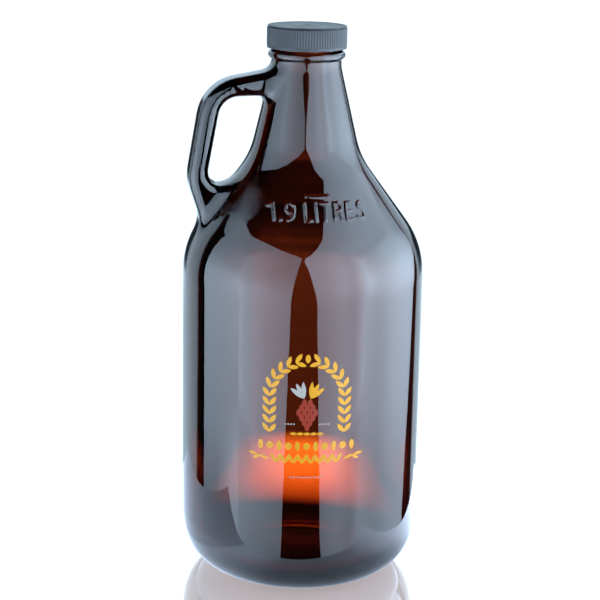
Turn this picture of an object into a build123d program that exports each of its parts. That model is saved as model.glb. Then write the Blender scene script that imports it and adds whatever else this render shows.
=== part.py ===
from build123d import *
import os
from math import atan2, cos, degrees, pi, sin

os.makedirs("parts", exist_ok=True)

# Handled half-gallon glass jug with a screw cap.  Millimetres, +Z up.
# The origin is on the jug's axis, on the surface that it stands on.
# The handle points to -X and the capacity mark faces -Y.

# ---- Driving dimensions -------------------------------------------------------------------
BODY_R = 61.6              # straight side of the jug
WALL = 4.0                 # glass thickness at the side
BASE_THICK = 6.5           # glass thickness under the floor
PUSH_UP = 4.5              # height of the hollow under the base
FOOT_IN = 31.0             # inner radius of the ring that the jug stands on
HEEL_WIDE, HEEL_TALL = 27.0, 32.0
HEEL_POWER = 2.46          # 2 would be an ellipse, more is squarer

SHOULDER_Z, SHOULDER_ARC = 172.2, 46.0       # corner where side and shoulder cone meet
NECK_FOOT_R, NECK_FOOT_Z, NECK_FOOT_ARC = 28.0, 217.6, 43.0
NECK_R, NECK_TOP_Z, NECK_TOP_ARC = 17.4, 262.2, 15.0
BEAD_R, BEAD_Z, BEAD_HALF = 19.25, 268.3, 2.4    # transfer bead under the thread
LIP_Z = 280.0
BORE_R = 14.5

# 38 mm continuous thread finish, six threads to the inch
PITCH = 25.4 / 6
THREAD_CREST_R = 18.65
THREAD_FOOT, THREAD_TIP = 2.5, 0.9           # the ridge's width at its root and its crest
THREAD_TURNS = 1.05
THREAD_START = 1.5         # from the lip down to the top of the thread
THREAD_LOW_Z = LIP_Z - THREAD_START - THREAD_FOOT / 2 - PITCH * THREAD_TURNS

HANDLE_HALF = 9.25         # half the handle's width
HANDLE_ROUND = 4.2

CAP_R = 20.0
CAP_BOTTOM, CAP_TOP = 271.5, 282.7
CAP_PLATE = 1.6
CAP_BORE_R = 18.85
CAP_THREAD_R = 17.75
CAP_THREAD_FOOT, CAP_THREAD_TIP = 1.9, 0.7
CAP_THREAD_SKIP, CAP_THREAD_TURNS = 0.35, 0.9     # it starts this share of a turn round
CAP_THREAD_LOW_Z = THREAD_LOW_Z - PITCH / 2 + 0.5   # it runs below the jug's thread
CAP_RIM, CAP_BAND = 1.1, 1.2                 # sloped top rim, plain band at the bottom
RIB_COUNT, RIB_DEPTH = 90, 0.35
LINER_R, LINER_THICK, LINER_GAP = 18.5, 1.0, 0.05

MARK_RAISE = 0.6           # how far the moulded mark stands out of the shoulder
MARK_TEXT = "1.9 LITRES"
MARK_Z, MARK_TALL, MARK_STROKE = 193.1, 7.5, 1.15
MARK_NARROW = 0.82         # the letters' width against their drawn width
MARK_GAP, MARK_SPACE = 2.5, 5.0
FILL_LINE_Z, FILL_LINE_LONG = 203.5, 12.3

PRINT_SINK, PRINT_PROUD = 0.05, 0.07         # the fired enamel is fused into the glass
PRINT_TURN = -6.5          # degrees from -Y to the middle of the print, towards the handle
PRINT_Z = 104.0
ARCH_R, ARCH_RISE, ARCH_LEG = 18.4, 4.7, 18.6     # garland: radius, its centre above PRINT_Z, legs
LEAF_PAIRS, LEAF_LONG, LEAF_WIDE, LEAF_SPREAD = 10, 5.6, 2.2, 36
LEAF_STOP = 6.2            # how far short of the arch's top the last pair starts

# The inside of the glass: its floor, and the corners of its shoulder and neck
FLOOR_EDGE_R = 34.6
INNER_SHOULDER_Z = SHOULDER_Z - 1.4
INNER_FOOT_R, INNER_FOOT_Z = NECK_FOOT_R - 4.4, NECK_FOOT_Z - 1.2
INNER_NECK_Z = NECK_TOP_Z - 5.0

# Strokes of the moulded letters on a grid one unit tall: width, then lists of points
GLYPHS = {
    "1": (0.36, [[(0.0, 0.78), (0.3, 1.0), (0.3, 0.0)]]),
    ".": (0.05, [[(0.0, 0.0), (0.05, 0.06)]]),
    "9": (
        0.64,
        [
            [(0.62, 0.7), (0.5, 0.46), (0.2, 0.42), (0.0, 0.66), (0.12, 0.93), (0.4, 1.0),
             (0.6, 0.86), (0.64, 0.6), (0.5, 0.2), (0.14, 0.0)],
        ],
    ),
    "L": (0.46, [[(0.0, 1.0), (0.0, 0.0), (0.44, 0.0)]]),
    "I": (0.02, [[(0.01, 1.0), (0.01, 0.0)]]),
    "T": (0.66, [[(0.0, 1.0), (0.66, 1.0)], [(0.33, 1.0), (0.33, 0.0)]]),
    "R": (
        0.6,
        [
            [(0.0, 0.0), (0.0, 1.0), (0.38, 1.0), (0.56, 0.88), (0.56, 0.64), (0.38, 0.52), (0.0, 0.52)],
            [(0.34, 0.52), (0.6, 0.0)],
        ],
    ),
    "E": (0.54, [[(0.54, 1.0), (0.0, 1.0), (0.0, 0.0), (0.54, 0.0)], [(0.0, 0.52), (0.46, 0.52)]]),
    "S": (
        0.6,
        [
            [(0.58, 0.84), (0.36, 1.0), (0.08, 0.88), (0.08, 0.64), (0.34, 0.52), (0.58, 0.38),
             (0.58, 0.12), (0.34, 0.0), (0.0, 0.14)],
        ],
    ),
}


# ---- Helpers --------------------------------------------------------------------------------
def heel_points(outer_r, floor_z, wide, tall, power, count=9):
    """Points up a rounded heel, from the flat under the jug to its straight side."""
    points = []
    for i in range(count):
        turn = (pi / 2) * i / (count - 1)
        across = outer_r - wide + wide * sin(turn) ** (2 / power)
        up = floor_z + tall - tall * cos(turn) ** (2 / power)
        points.append((across, up))
    return points


def revolved(*edges):
    """A solid of revolution from edges drawn as (radius, height)."""
    outline = [piece for edge in edges for piece in edge.edges()]
    return revolve(Plane.XZ * make_face(outline), Axis.Z)


def thread_ridge(root_r, crest_r, low_z, turns, foot, tip, start_angle=0.0):
    """A right-hand helical ridge; foot and tip are its widths at root and crest."""
    helix = Helix(pitch=PITCH, height=PITCH * turns, radius=root_r)
    reach = crest_r - root_r
    plane = Plane(origin=helix @ 0, x_dir=(1, 0, 0), z_dir=helix % 0)
    section = plane * Polygon(
        (0, -foot / 2), (reach, -tip / 2), (reach, tip / 2), (0, foot / 2), align=None
    )
    ridge = sweep(section, path=helix, is_frenet=True)
    return Pos(0, 0, low_z) * (Rot(0, 0, start_angle) * ridge)


# ---- Jug --------------------------------------------------------------------------------------
def outer_body(grow=0.0):
    """The jug's outside without its handle, solid to the axis; grow moves the side outwards."""
    heel = heel_points(BODY_R + grow, 0, HEEL_WIDE, HEEL_TALL, HEEL_POWER)
    bead_low, bead_high = BEAD_Z - BEAD_HALF, BEAD_Z + BEAD_HALF
    side = FilletPolyline(
        heel[-1],
        (BODY_R + grow, SHOULDER_Z),
        (NECK_FOOT_R + grow, NECK_FOOT_Z),
        (NECK_R + grow, NECK_TOP_Z),
        (NECK_R + grow, bead_low),
        radius=[SHOULDER_ARC, NECK_FOOT_ARC, NECK_TOP_ARC],
    )
    bead = ThreePointArc((NECK_R + grow, bead_low), (BEAD_R, BEAD_Z), (NECK_R + grow, bead_high))
    return revolved(
        ThreePointArc((0, PUSH_UP), (FOOT_IN / 2, PUSH_UP * 0.78), (FOOT_IN, 0)),
        Line((FOOT_IN, 0), heel[0]),
        Spline(heel, tangents=[(1, 0), (0, 1)]),
        side,
        bead,
        Line((NECK_R + grow, bead_high), (NECK_R + grow, LIP_Z)),
        Line((NECK_R + grow, LIP_Z), (0, LIP_Z)),
        Line((0, LIP_Z), (0, PUSH_UP)),
    )


def cavity():
    """The room inside the jug, from its domed floor to above the lip."""
    inner_r = BODY_R - WALL
    heel = heel_points(inner_r, BASE_THICK, inner_r - FLOOR_EDGE_R, HEEL_TALL - WALL, HEEL_POWER)
    crown = BASE_THICK + PUSH_UP
    side = FilletPolyline(
        heel[-1],
        (inner_r, INNER_SHOULDER_Z),
        (INNER_FOOT_R, INNER_FOOT_Z),
        (BORE_R, INNER_NECK_Z),
        (BORE_R, LIP_Z + 1.0),
        radius=[SHOULDER_ARC - WALL, NECK_FOOT_ARC + WALL, NECK_TOP_ARC],
    )
    return revolved(
        ThreePointArc((0, crown), (FLOOR_EDGE_R / 2, crown - PUSH_UP * 0.22), heel[0]),
        Spline(heel, tangents=[(1, 0), (0, 1)]),
        side,
        Line((BORE_R, LIP_Z + 1.0), (0, LIP_Z + 1.0)),
        Line((0, LIP_Z + 1.0), (0, crown)),
    )


def handle():
    """The moulded finger loop, drawn in the XZ plane and rounded along its outer edges."""
    outside = FilletPolyline(
        (-13.0, 261.8), (-51.8, 254.4), (-60.0, 206.0), (-53.6, 186.5), (-54.0, 172.0),
        (-42.0, 172.0), (-13.0, 212.0),
        radius=[6.0, 23.0, 24.0, 30.0, 6.0, 6.0, 8.0],
        close=True,
    )
    finger_hole = FilletPolyline(
        (-22.4, 248.4), (-43.1, 247.7), (-51.15, 203.3), (-38.3, 203.3), (-27.0, 218.3),
        (-24.3, 231.5),
        radius=[9.5, 10.5, 7.0, 7.0, 20.0, 40.0],
        close=True,
    )
    loop = make_face(outside.edges()) - make_face(finger_hole.edges())
    slab = extrude(Plane.XZ * loop, HANDLE_HALF, both=True)
    rims = slab.edges().filter_by(lambda edge: abs(abs(edge.center().Y) - HANDLE_HALF) < 0.01)
    return fillet(rims, HANDLE_ROUND)


def mark_strokes():
    """The capacity's strokes as lists of points, centred on x = 0."""
    strokes, cursor = [], 0.0
    for letter in MARK_TEXT:
        if letter == " ":
            cursor += MARK_SPACE - MARK_GAP
            continue
        wide, lines = GLYPHS[letter]
        across = MARK_TALL * MARK_NARROW
        for line in lines:
            strokes.append([(cursor + x * across, MARK_Z + y * MARK_TALL) for x, y in line])
        cursor += wide * across + MARK_GAP
    middle = (cursor - MARK_GAP) / 2
    return [[(x - middle, z) for x, z in stroke] for stroke in strokes]


def moulded_mark():
    """A short fill line and the jug's capacity, raised on the shoulder."""
    flat = Pos(0, FILL_LINE_Z) * SlotOverall(FILL_LINE_LONG, MARK_STROKE)
    for stroke in mark_strokes():
        for start, end in zip(stroke, stroke[1:]):
            along = Vector(*end) - Vector(*start)
            turn = degrees(atan2(along.Y, along.X))
            middle = (Vector(*start) + Vector(*end)) / 2
            bar = SlotCenterToCenter(along.length, MARK_STROKE)
            flat += Pos(middle.X, middle.Y) * Rot(0, 0, turn) * bar
    front = extrude(Plane.XZ * flat, BODY_R)
    return front & outer_body(MARK_RAISE)


def glass_jug():
    ridge = thread_ridge(
        NECK_R - 0.3, THREAD_CREST_R, THREAD_LOW_Z, THREAD_TURNS, THREAD_FOOT, THREAD_TIP
    )
    glass = outer_body() + handle() + ridge + moulded_mark()
    return glass - cavity()


# ---- Fired enamel print -----------------------------------------------------------------------
def leaf(long, wide, x=0.0, y=0.0, turn=0.0):
    """A pointed leaf that starts at (x, y) and points along turn, in degrees."""
    outline = [
        ThreePointArc((0, 0), (long / 2, wide / 2), (long, 0)),
        ThreePointArc((long, 0), (long / 2, -wide / 2), (0, 0)),
    ]
    return Pos(x, y) * Rot(0, 0, turn) * make_face([arc.edge() for arc in outline])


def garland():
    """Leaf pairs that climb both legs of an arch and meet at its top."""
    leaves = []
    side_length = ARCH_LEG + ARCH_R * pi / 2 - LEAF_STOP
    for i in range(LEAF_PAIRS):
        travel = side_length * i / (LEAF_PAIRS - 1)
        climb = min(travel, ARCH_LEG)
        bend = (travel - climb) / ARCH_R
        x = ARCH_R * cos(bend)
        y = ARCH_RISE - ARCH_LEG + climb + ARCH_R * sin(bend)
        heading = 90 + degrees(bend)
        for spread in (-LEAF_SPREAD, LEAF_SPREAD):
            leaves.append(leaf(LEAF_LONG, LEAF_WIDE, x, y, heading + spread))
            leaves.append(leaf(LEAF_LONG, LEAF_WIDE, -x, y, 180 - heading - spread))
    leaves.append(leaf(4.4, 2.6, 0, ARCH_RISE + ARCH_R - 1.2, 90))
    return leaves


def sprig(x, y, turns, long, wide):
    return [leaf(long, wide, x, y, turn) for turn in turns]


def gold_shapes():
    shapes = garland()
    for i in range(11):                      # upper band: grains and diamonds by turns
        x = 4.48 * (i - 5)
        long, wide = ((5.4, 2.5), (3.8, 3.4))[i % 2]
        shapes.append(leaf(long, wide, x, -20.6 - long / 2, 90))
    for i in range(8):                       # lower band: small sprouts
        shapes += sprig(4.25 * (i - 3.5), -29.5, (62, 118), 5.6, 1.7)
    for side in (-1, 1):                     # a flourish at each end of the lower band
        tips = ((18.2, -27.9, 20, 5.4), (22.6, -26.4, -28, 4.0), (23.4, -26.2, 12, 5.0))
        for x, y, turn, long in tips:
            shapes.append(leaf(long, 1.5, side * x, y, turn if side > 0 else 180 - turn))
    shapes += sprig(1.6, 4.0, (38, 62, 86), 8.6, 2.3)        # right-hand hop leaf
    for i in range(5):                       # mound under the hop cone
        shapes.append(leaf(3.4, 1.5, 3.3 * (i - 2) - 1.7, -14.1, 0))
    return shapes


def red_shapes():
    """A hop cone: staggered rows of pointed bracts, widest in the middle."""
    shapes = []
    for row, count in enumerate((2, 3, 4, 3, 2, 1)):
        for i in range(count):
            x = 2.75 * (i - (count - 1) / 2)
            shapes.append(leaf(3.9, 2.45, x, 3.8 - 2.55 * row, -90))
    return shapes


def white_shapes():
    shapes = sprig(-1.6, 4.0, (142, 118, 94), 8.6, 2.3)      # left-hand hop leaf
    for i in range(10):                      # a row of dots below the bands
        shapes.append(Pos(1.7 * (i - 4.5), -36.7) * Circle(0.42))
    for i in range(4):                       # and a short row each side of the cone
        for side in (-1, 1):
            shapes.append(Pos(side * (6.4 + 1.4 * i), -9.2) * Circle(0.42))
    return shapes


def fired_on(shapes):
    """Flat shapes pressed onto the front of the jug's straight side as a thin layer."""
    flat = Sketch() + shapes
    front = extrude(Plane.XZ * (Pos(0, PRINT_Z) * flat), BODY_R + 1)
    tall = SHOULDER_Z - HEEL_TALL
    layer = Cylinder(BODY_R + PRINT_PROUD, tall) - Cylinder(BODY_R - PRINT_SINK, tall)
    layer = Pos(0, 0, HEEL_TALL + tall / 2) * layer
    return Rot(0, 0, PRINT_TURN) * (front & layer)


def gold_enamel_print():
    return fired_on(gold_shapes())


def red_enamel_print():
    return fired_on(red_shapes())


def white_enamel_print():
    return fired_on(white_shapes())


# ---- Cap and liner ----------------------------------------------------------------------------
def ribbed_disc(low_z, high_z):
    """A disc whose rim has fine upright ribs."""
    valley_r = CAP_R - RIB_DEPTH
    corners = []
    for i in range(RIB_COUNT):
        for share, radius in ((0.0, CAP_R), (0.35, CAP_R), (0.55, valley_r), (0.8, valley_r)):
            turn = 2 * pi * (i + share) / RIB_COUNT
            corners.append((radius * cos(turn), radius * sin(turn)))
    return Pos(0, 0, low_z) * extrude(make_face(Polyline(*corners, close=True)), high_z - low_z)


def screw_cap():
    root_r = CAP_R - RIB_DEPTH
    envelope = revolved(
        Polyline(
            (0, CAP_BOTTOM), (CAP_R, CAP_BOTTOM), (CAP_R, CAP_TOP - CAP_RIM),
            (root_r - 0.5, CAP_TOP), (0, CAP_TOP), close=True,
        )
    )
    band = Pos(0, 0, CAP_BOTTOM) * extrude(Circle(CAP_R - 0.1), CAP_BAND)
    shell = (ribbed_disc(CAP_BOTTOM + CAP_BAND, CAP_TOP) & envelope) + band
    room = Pos(0, 0, CAP_BOTTOM) * extrude(Circle(CAP_BORE_R), CAP_TOP - CAP_PLATE - CAP_BOTTOM)
    ridge = thread_ridge(
        CAP_BORE_R + 0.2,
        CAP_THREAD_R,
        CAP_THREAD_LOW_Z + PITCH * CAP_THREAD_SKIP,
        CAP_THREAD_TURNS,
        CAP_THREAD_FOOT,
        CAP_THREAD_TIP,
        start_angle=360 * CAP_THREAD_SKIP,
    )
    return shell - room + ridge


def cap_liner():
    low = LIP_Z + LINER_GAP
    return Pos(0, 0, low) * extrude(Circle(LINER_R), LINER_THICK)


nodes = {
    "glass_jug": glass_jug,
    "screw_cap": screw_cap,
    "cap_liner": cap_liner,
    "gold_enamel_print": gold_enamel_print,
    "red_enamel_print": red_enamel_print,
    "white_enamel_print": white_enamel_print,
}
for name, make in nodes.items():
    export_step(make(), "parts/" + name + ".step")
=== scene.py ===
from math import cos, hypot, pi, radians, sin

import bpy
import numpy as np
from mathutils import Matrix, Vector


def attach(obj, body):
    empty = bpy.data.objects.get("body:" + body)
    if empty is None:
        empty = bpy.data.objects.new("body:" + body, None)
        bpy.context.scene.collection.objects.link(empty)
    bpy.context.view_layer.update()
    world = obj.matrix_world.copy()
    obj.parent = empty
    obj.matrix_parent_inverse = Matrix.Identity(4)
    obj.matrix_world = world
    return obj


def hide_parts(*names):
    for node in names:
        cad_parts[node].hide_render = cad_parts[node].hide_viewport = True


# Amber glass half-gallon jug with a finger loop, a ribbed screw cap and a fired enamel print.
# Lengths in this file are in millimetres until a mesh is made.  The jug's axis is Z, it stands
# on z = 0, its handle points to -X and its moulded mark faces -Y.

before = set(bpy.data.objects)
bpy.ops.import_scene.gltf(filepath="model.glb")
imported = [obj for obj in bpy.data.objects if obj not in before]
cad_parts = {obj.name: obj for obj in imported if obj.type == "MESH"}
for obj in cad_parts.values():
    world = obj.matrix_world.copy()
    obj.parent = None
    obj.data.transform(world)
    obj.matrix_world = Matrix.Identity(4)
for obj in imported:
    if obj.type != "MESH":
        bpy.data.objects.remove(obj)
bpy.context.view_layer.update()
scene = bpy.context.scene
MM = 0.001

# ---- The jug's dimensions, as in the CAD ---------------------------------------------------------
BODY_R = 61.59
HEEL_WIDE, HEEL_TALL, HEEL_POWER = 27.0, 32.0, 2.46
SHOULDER = [(61.59, 172.2), (28.0, 217.6), (17.4, 262.2)]
SHOULDER_ARCS = [46.0, 43.0, 15.0]
NECK_R, BEAD_R, BEAD_Z, BEAD_HALF = 17.4, 19.25, 268.3, 2.4
LIP_Z, LIP_ROUND = 280.0, 0.9
PUSH_UP, FOOT_IN = 4.5, 31.0
INNER_R, INNER_FLOOR_Z, FLOOR_EDGE_R, INNER_TALL = 57.6, 6.5, 34.6, 28.0
INNER_SHOULDER = [(57.6, 170.8), (23.6, 216.4), (14.5, 260.6)]
INNER_ARCS = [42.0, 47.0, 15.0]
BORE_R = 14.5
PITCH = 25.4 / 6
THREAD_RISE, THREAD_FOOT, THREAD_TIP, THREAD_TURNS = 1.25, 2.5, 0.9, 1.05
THREAD_LOW_Z = LIP_Z - 1.5 - THREAD_FOOT / 2 - PITCH * THREAD_TURNS

HANDLE_HALF, HANDLE_ROUND = 9.25, 4.3
HANDLE_BLEND = 6.0          # how softly the loop runs into the neck and shoulder
HANDLE_LINE = [
    (-10.0, 262.3), (-51.8, 254.4), (-60.0, 206.0), (-53.6, 186.5), (-50.0, 174.0), (-42.0, 174.0),
    (-24.0, 188.0), (-24.0, 203.3), (-51.15, 203.3), (-43.1, 247.7), (-10.0, 248.8),
]
HANDLE_ARCS = [1.0, 23.0, 24.0, 30.0, 3.0, 3.0, 3.0, 3.0, 7.0, 10.5, 1.0]
SEAM_RISE, SEAM_HALF = 0.16, 0.5

# MARK_HALF is half a stroke's width at its foot.  MARK_STROKE only sets back the fill line's ends.
MARK_RISE = 0.75
MARK_TEXT = "1.9 LITRES"
MARK_Z, MARK_TALL, MARK_STROKE, MARK_NARROW = 193.1, 7.5, 1.15, 0.82
MARK_GAP, MARK_SPACE, MARK_HALF = 2.5, 5.0, 0.64
FILL_LINE_Z, FILL_LINE_LONG = 203.5, 12.3
GLYPHS = {          # each letter's width and centre lines, in units of its height
    "1": (0.36, [[(0.0, 0.78), (0.3, 1.0), (0.3, 0.0)]]),
    ".": (0.05, [[(0.0, 0.0), (0.05, 0.06)]]),
    "9": (
        0.64,
        [
            [(0.62, 0.7), (0.5, 0.46), (0.2, 0.42), (0.0, 0.66), (0.12, 0.93), (0.4, 1.0),
             (0.6, 0.86), (0.64, 0.6), (0.5, 0.2), (0.14, 0.0)],
        ],
    ),
    "L": (0.46, [[(0.0, 1.0), (0.0, 0.0), (0.44, 0.0)]]),
    "I": (0.02, [[(0.01, 1.0), (0.01, 0.0)]]),
    "T": (0.66, [[(0.0, 1.0), (0.66, 1.0)], [(0.33, 1.0), (0.33, 0.0)]]),
    "R": (
        0.6,
        [
            [(0.0, 0.0), (0.0, 1.0), (0.38, 1.0), (0.56, 0.88), (0.56, 0.64), (0.38, 0.52),
             (0.0, 0.52)],
            [(0.34, 0.52), (0.6, 0.0)],
        ],
    ),
    "E": (0.54, [[(0.54, 1.0), (0.0, 1.0), (0.0, 0.0), (0.54, 0.0)], [(0.0, 0.52), (0.46, 0.52)]]),
    "S": (
        0.6,
        [
            [(0.58, 0.84), (0.36, 1.0), (0.08, 0.88), (0.08, 0.64), (0.34, 0.52), (0.58, 0.38),
             (0.58, 0.12), (0.34, 0.0), (0.0, 0.14)],
        ],
    ),
}


# ---- Outlines ------------------------------------------------------------------------------------
def rounded(points, arcs, step, closed=False):
    """The points' polyline with an arc at each inner corner, as an array of points."""
    points = [np.array(p, float) for p in points]
    corners = range(len(points)) if closed else range(1, len(points) - 1)
    line = [] if closed else [points[0]]
    for arc, i in zip(arcs, corners):
        corner = points[i]
        back = points[i - 1] - corner
        ahead = points[(i + 1) % len(points)] - corner
        back, ahead = back / np.linalg.norm(back), ahead / np.linalg.norm(ahead)
        half = np.arccos(np.clip(back @ ahead, -1, 1)) / 2
        start = corner + back * arc / np.tan(half)
        end = corner + ahead * arc / np.tan(half)
        middle = (back + ahead) / np.linalg.norm(back + ahead)
        centre = corner + middle * arc / np.sin(half)
        low = np.arctan2(*(start - centre)[::-1])
        turn = (np.arctan2(*(end - centre)[::-1]) - low + pi) % (2 * pi) - pi
        count = max(3, int(abs(turn) * arc / step))
        for share in np.linspace(0, 1, count + 1):
            angle = low + turn * share
            line.append(centre + arc * np.array([np.cos(angle), np.sin(angle)]))
    line.append(line[0] if closed else points[-1])
    return divided(np.array(line), step)


def divided(line, step):
    """The same polyline with no segment longer than step."""
    out = [line[:1]]
    for a, b in zip(line, line[1:]):
        count = max(1, int(np.ceil(np.linalg.norm(b - a) / step)))
        out.append(a + (b - a) * np.arange(1, count + 1)[:, None] / count)
    return np.vstack(out)


def heel(outer_r, floor_z, wide, tall, count):
    """The superellipse that turns the floor into the side, as (radius, height)."""
    turn = np.linspace(0, pi / 2, count)
    across = outer_r - wide + wide * np.sin(turn) ** (2 / HEEL_POWER)
    up = floor_z + tall - tall * np.cos(turn) ** (2 / HEEL_POWER)
    return np.stack([across, up], 1)


def arc_through(start, middle, end, count):
    """Points on the circle arc through three points."""
    (ax, ay), (bx, by), (cx, cy) = start, middle, end
    d = 2 * (ax * (by - cy) + bx * (cy - ay) + cx * (ay - by))
    a2, b2, c2 = ax * ax + ay * ay, bx * bx + by * by, cx * cx + cy * cy
    ux = (a2 * (by - cy) + b2 * (cy - ay) + c2 * (ay - by)) / d
    uy = (a2 * (cx - bx) + b2 * (ax - cx) + c2 * (bx - ax)) / d
    low = np.arctan2(ay - uy, ax - ux)
    turn = (np.arctan2(cy - uy, cx - ux) - low + pi) % (2 * pi) - pi
    angles = low + turn * np.linspace(0, 1, count)
    radius = hypot(ax - ux, ay - uy)
    return np.stack([ux + radius * np.cos(angles), uy + radius * np.sin(angles)], 1)


def outer_profile(step):
    """The jug's outside as (radius, height), from its underside to its lip."""
    neck = (NECK_R, BEAD_Z - BEAD_HALF)
    foot = heel(BODY_R, 0, HEEL_WIDE, HEEL_TALL, 700)
    side = rounded([foot[-1], *SHOULDER, neck], SHOULDER_ARCS, step)
    bead = arc_through(neck, (BEAD_R, BEAD_Z), (NECK_R, BEAD_Z + BEAD_HALF), 24)
    lip = rounded([(NECK_R, BEAD_Z + BEAD_HALF), (NECK_R, LIP_Z), (0, LIP_Z)], [LIP_ROUND], step)
    base = arc_through((0, PUSH_UP), (FOOT_IN / 2, PUSH_UP * 0.78), (FOOT_IN, 0), 60)
    return divided(np.vstack([base, foot, side[1:], bead[1:], lip[1:]]), step)


def inner_profile(step):
    """The inside as (radius, height), from its floor's middle up the bore."""
    crown = INNER_FLOOR_Z + PUSH_UP
    floor = arc_through((0, crown), (FLOOR_EDGE_R / 2, crown - PUSH_UP * 0.22),
                        (FLOOR_EDGE_R, INNER_FLOOR_Z), 14)
    foot = heel(INNER_R, INNER_FLOOR_Z, INNER_R - FLOOR_EDGE_R, INNER_TALL, 22)
    side = rounded([foot[-1], *INNER_SHOULDER, (BORE_R, LIP_Z - 2.5)], INNER_ARCS, step)
    return np.vstack([floor, foot[1:], side[1:]])


# ---- The jug's outer surface as a distance field -------------------------------------------------
OUTLINE = outer_profile(0.12)
FOOT_START = int(np.argmax(OUTLINE[:, 0] >= FOOT_IN + 0.01))


def gap_to(points, line, reach):
    """Distance from each (n, 2) point to a polyline, no more than reach."""
    starts, ends = line[:-1], line[1:]
    low = np.minimum(starts[:, 1], ends[:, 1]) - reach
    high = np.maximum(starts[:, 1], ends[:, 1]) + reach
    result = np.full(len(points), float(reach))
    order = np.argsort(points[:, 1])
    for part in np.array_split(order, len(points) // 600 + 1):
        here = points[part]
        near = (low <= here[:, 1].max()) & (high >= here[:, 1].min())
        if not near.any():
            continue
        a, along = starts[near], (ends - starts)[near]
        gx = here[:, None, 0] - a[None, :, 0]
        gy = here[:, None, 1] - a[None, :, 1]
        share = (gx * along[:, 0] + gy * along[:, 1]) / (along ** 2).sum(1)
        share = np.clip(share, 0, 1)
        gx -= share * along[:, 0]
        gy -= share * along[:, 1]
        result[part] = np.minimum(reach, np.sqrt((gx * gx + gy * gy).min(1)))
    return result


def body_field(radius, height, reach):
    """Signed distance to the jug without its handle; negative inside."""
    points = np.stack([radius, height], 1)
    base, side = OUTLINE[:FOOT_START], OUTLINE[FOOT_START:]
    widest = np.interp(height, side[:, 1], side[:, 0], left=0, right=0)
    floor = np.interp(radius, base[:, 0], base[:, 1], right=0)
    inside = (radius < widest) & (height > floor) & (height < LIP_Z)
    return np.where(inside, -1, 1) * gap_to(points, OUTLINE, reach)


LOOP = rounded(HANDLE_LINE, HANDLE_ARCS, 0.25, closed=True)


def near_loop(x, y, z):
    """True where the handle can change the surface."""
    return (x < -8) & (np.abs(y) < HANDLE_HALF + 10) & (z > 160) & (z < 272)


def near_mark(x, y, z):
    """True where the moulded mark can change the surface."""
    return (y < -20) & (np.abs(x) < 37) & (z > MARK_Z - 2) & (z < FILL_LINE_Z + 2)


def in_loop(x, z):
    """True for the points inside the handle's outline."""
    crossings = np.zeros(len(x), int)
    for (ax, az), (bx, bz) in zip(LOOP, LOOP[1:]):
        if az == bz:
            continue
        spans = (az > z) != (bz > z)
        crossings += spans & (x < ax + (bx - ax) * (z - az) / (bz - az))
    return crossings % 2 == 1


def handle_field(x, y, z, reach):
    """Signed distance to the loop: its outline, HANDLE_HALF to each side, with rounded edges."""
    flat = np.where(in_loop(x, z), -1, 1) * gap_to(np.stack([x, z], 1), LOOP, reach)
    flat -= SEAM_RISE * np.clip(1 - np.abs(y) / SEAM_HALF, 0, 1)
    a, b = flat + HANDLE_ROUND, np.abs(y) - HANDLE_HALF + HANDLE_ROUND
    outer = np.hypot(np.maximum(a, 0), np.maximum(b, 0))
    return outer + np.minimum(np.maximum(a, b), 0) - HANDLE_ROUND


def strokes():
    """The moulded mark's centre lines, as pairs of (x, z) points."""
    lines, cursor = [], 0.0
    for letter in MARK_TEXT:
        if letter == " ":
            cursor += MARK_SPACE - MARK_GAP
            continue
        wide, parts = GLYPHS[letter]
        across = MARK_TALL * MARK_NARROW
        for part in parts:
            lines.append([(cursor + x * across, MARK_Z + y * MARK_TALL) for x, y in part])
        cursor += wide * across + MARK_GAP
    middle = (cursor - MARK_GAP) / 2
    pairs = []
    for line in lines:
        for (ax, az), (bx, bz) in zip(line, line[1:]):
            pairs.append(((ax - middle, az), (bx - middle, bz)))
    half = (FILL_LINE_LONG - MARK_STROKE) / 2
    pairs.append(((-half, FILL_LINE_Z), (half, FILL_LINE_Z)))
    return pairs


STROKES = strokes()


def smooth(value, low, high):
    """Runs from 0 at low to 1 at high, level at both."""
    share = np.clip((value - low) / (high - low), 0, 1)
    return share * share * (3 - 2 * share)


def mark_height(x, y, z):
    """How far the moulded mark stands out at each point."""
    height = np.zeros(len(x))
    near = near_mark(x, y, z)
    px, pz = x[near], z[near]
    gap = np.full(len(px), np.inf)
    for (ax, az), (bx, bz) in STROKES:
        dx, dz = bx - ax, bz - az
        share = np.clip(((px - ax) * dx + (pz - az) * dz) / max(dx * dx + dz * dz, 1e-9), 0, 1)
        gap = np.minimum(gap, np.hypot(px - ax - share * dx, pz - az - share * dz))
    height[near] = MARK_RISE * np.clip(1 - (gap / MARK_HALF) ** 2, 0, 1)
    return height


RUN_OUT = 0.03              # the share of a turn over which a thread's ends run out


def ridge_height(angle, z, low_z, turns, rise, foot, tip, skip=0.0):
    """How far a right-hand thread stands out; its ends run out over a short angle."""
    height = np.zeros(len(z))
    for lap in range(-1, int(turns) + 2):
        travel = (angle / (2 * pi) - skip) % 1 + lap
        middle = low_z + PITCH * travel
        off = np.abs(z - middle)
        shape = np.clip((foot / 2 - off) / (foot / 2 - tip / 2), 0, 1)
        ends = smooth(travel, 0, RUN_OUT) * (1 - smooth(travel, turns - RUN_OUT, turns))
        height = np.maximum(height, rise * shape * ends)
    return height


# How far from the surface the distances are worked out, for the grid and for points on the surface
FAR, NEAR = 12.0, HANDLE_BLEND + 0.5


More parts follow.
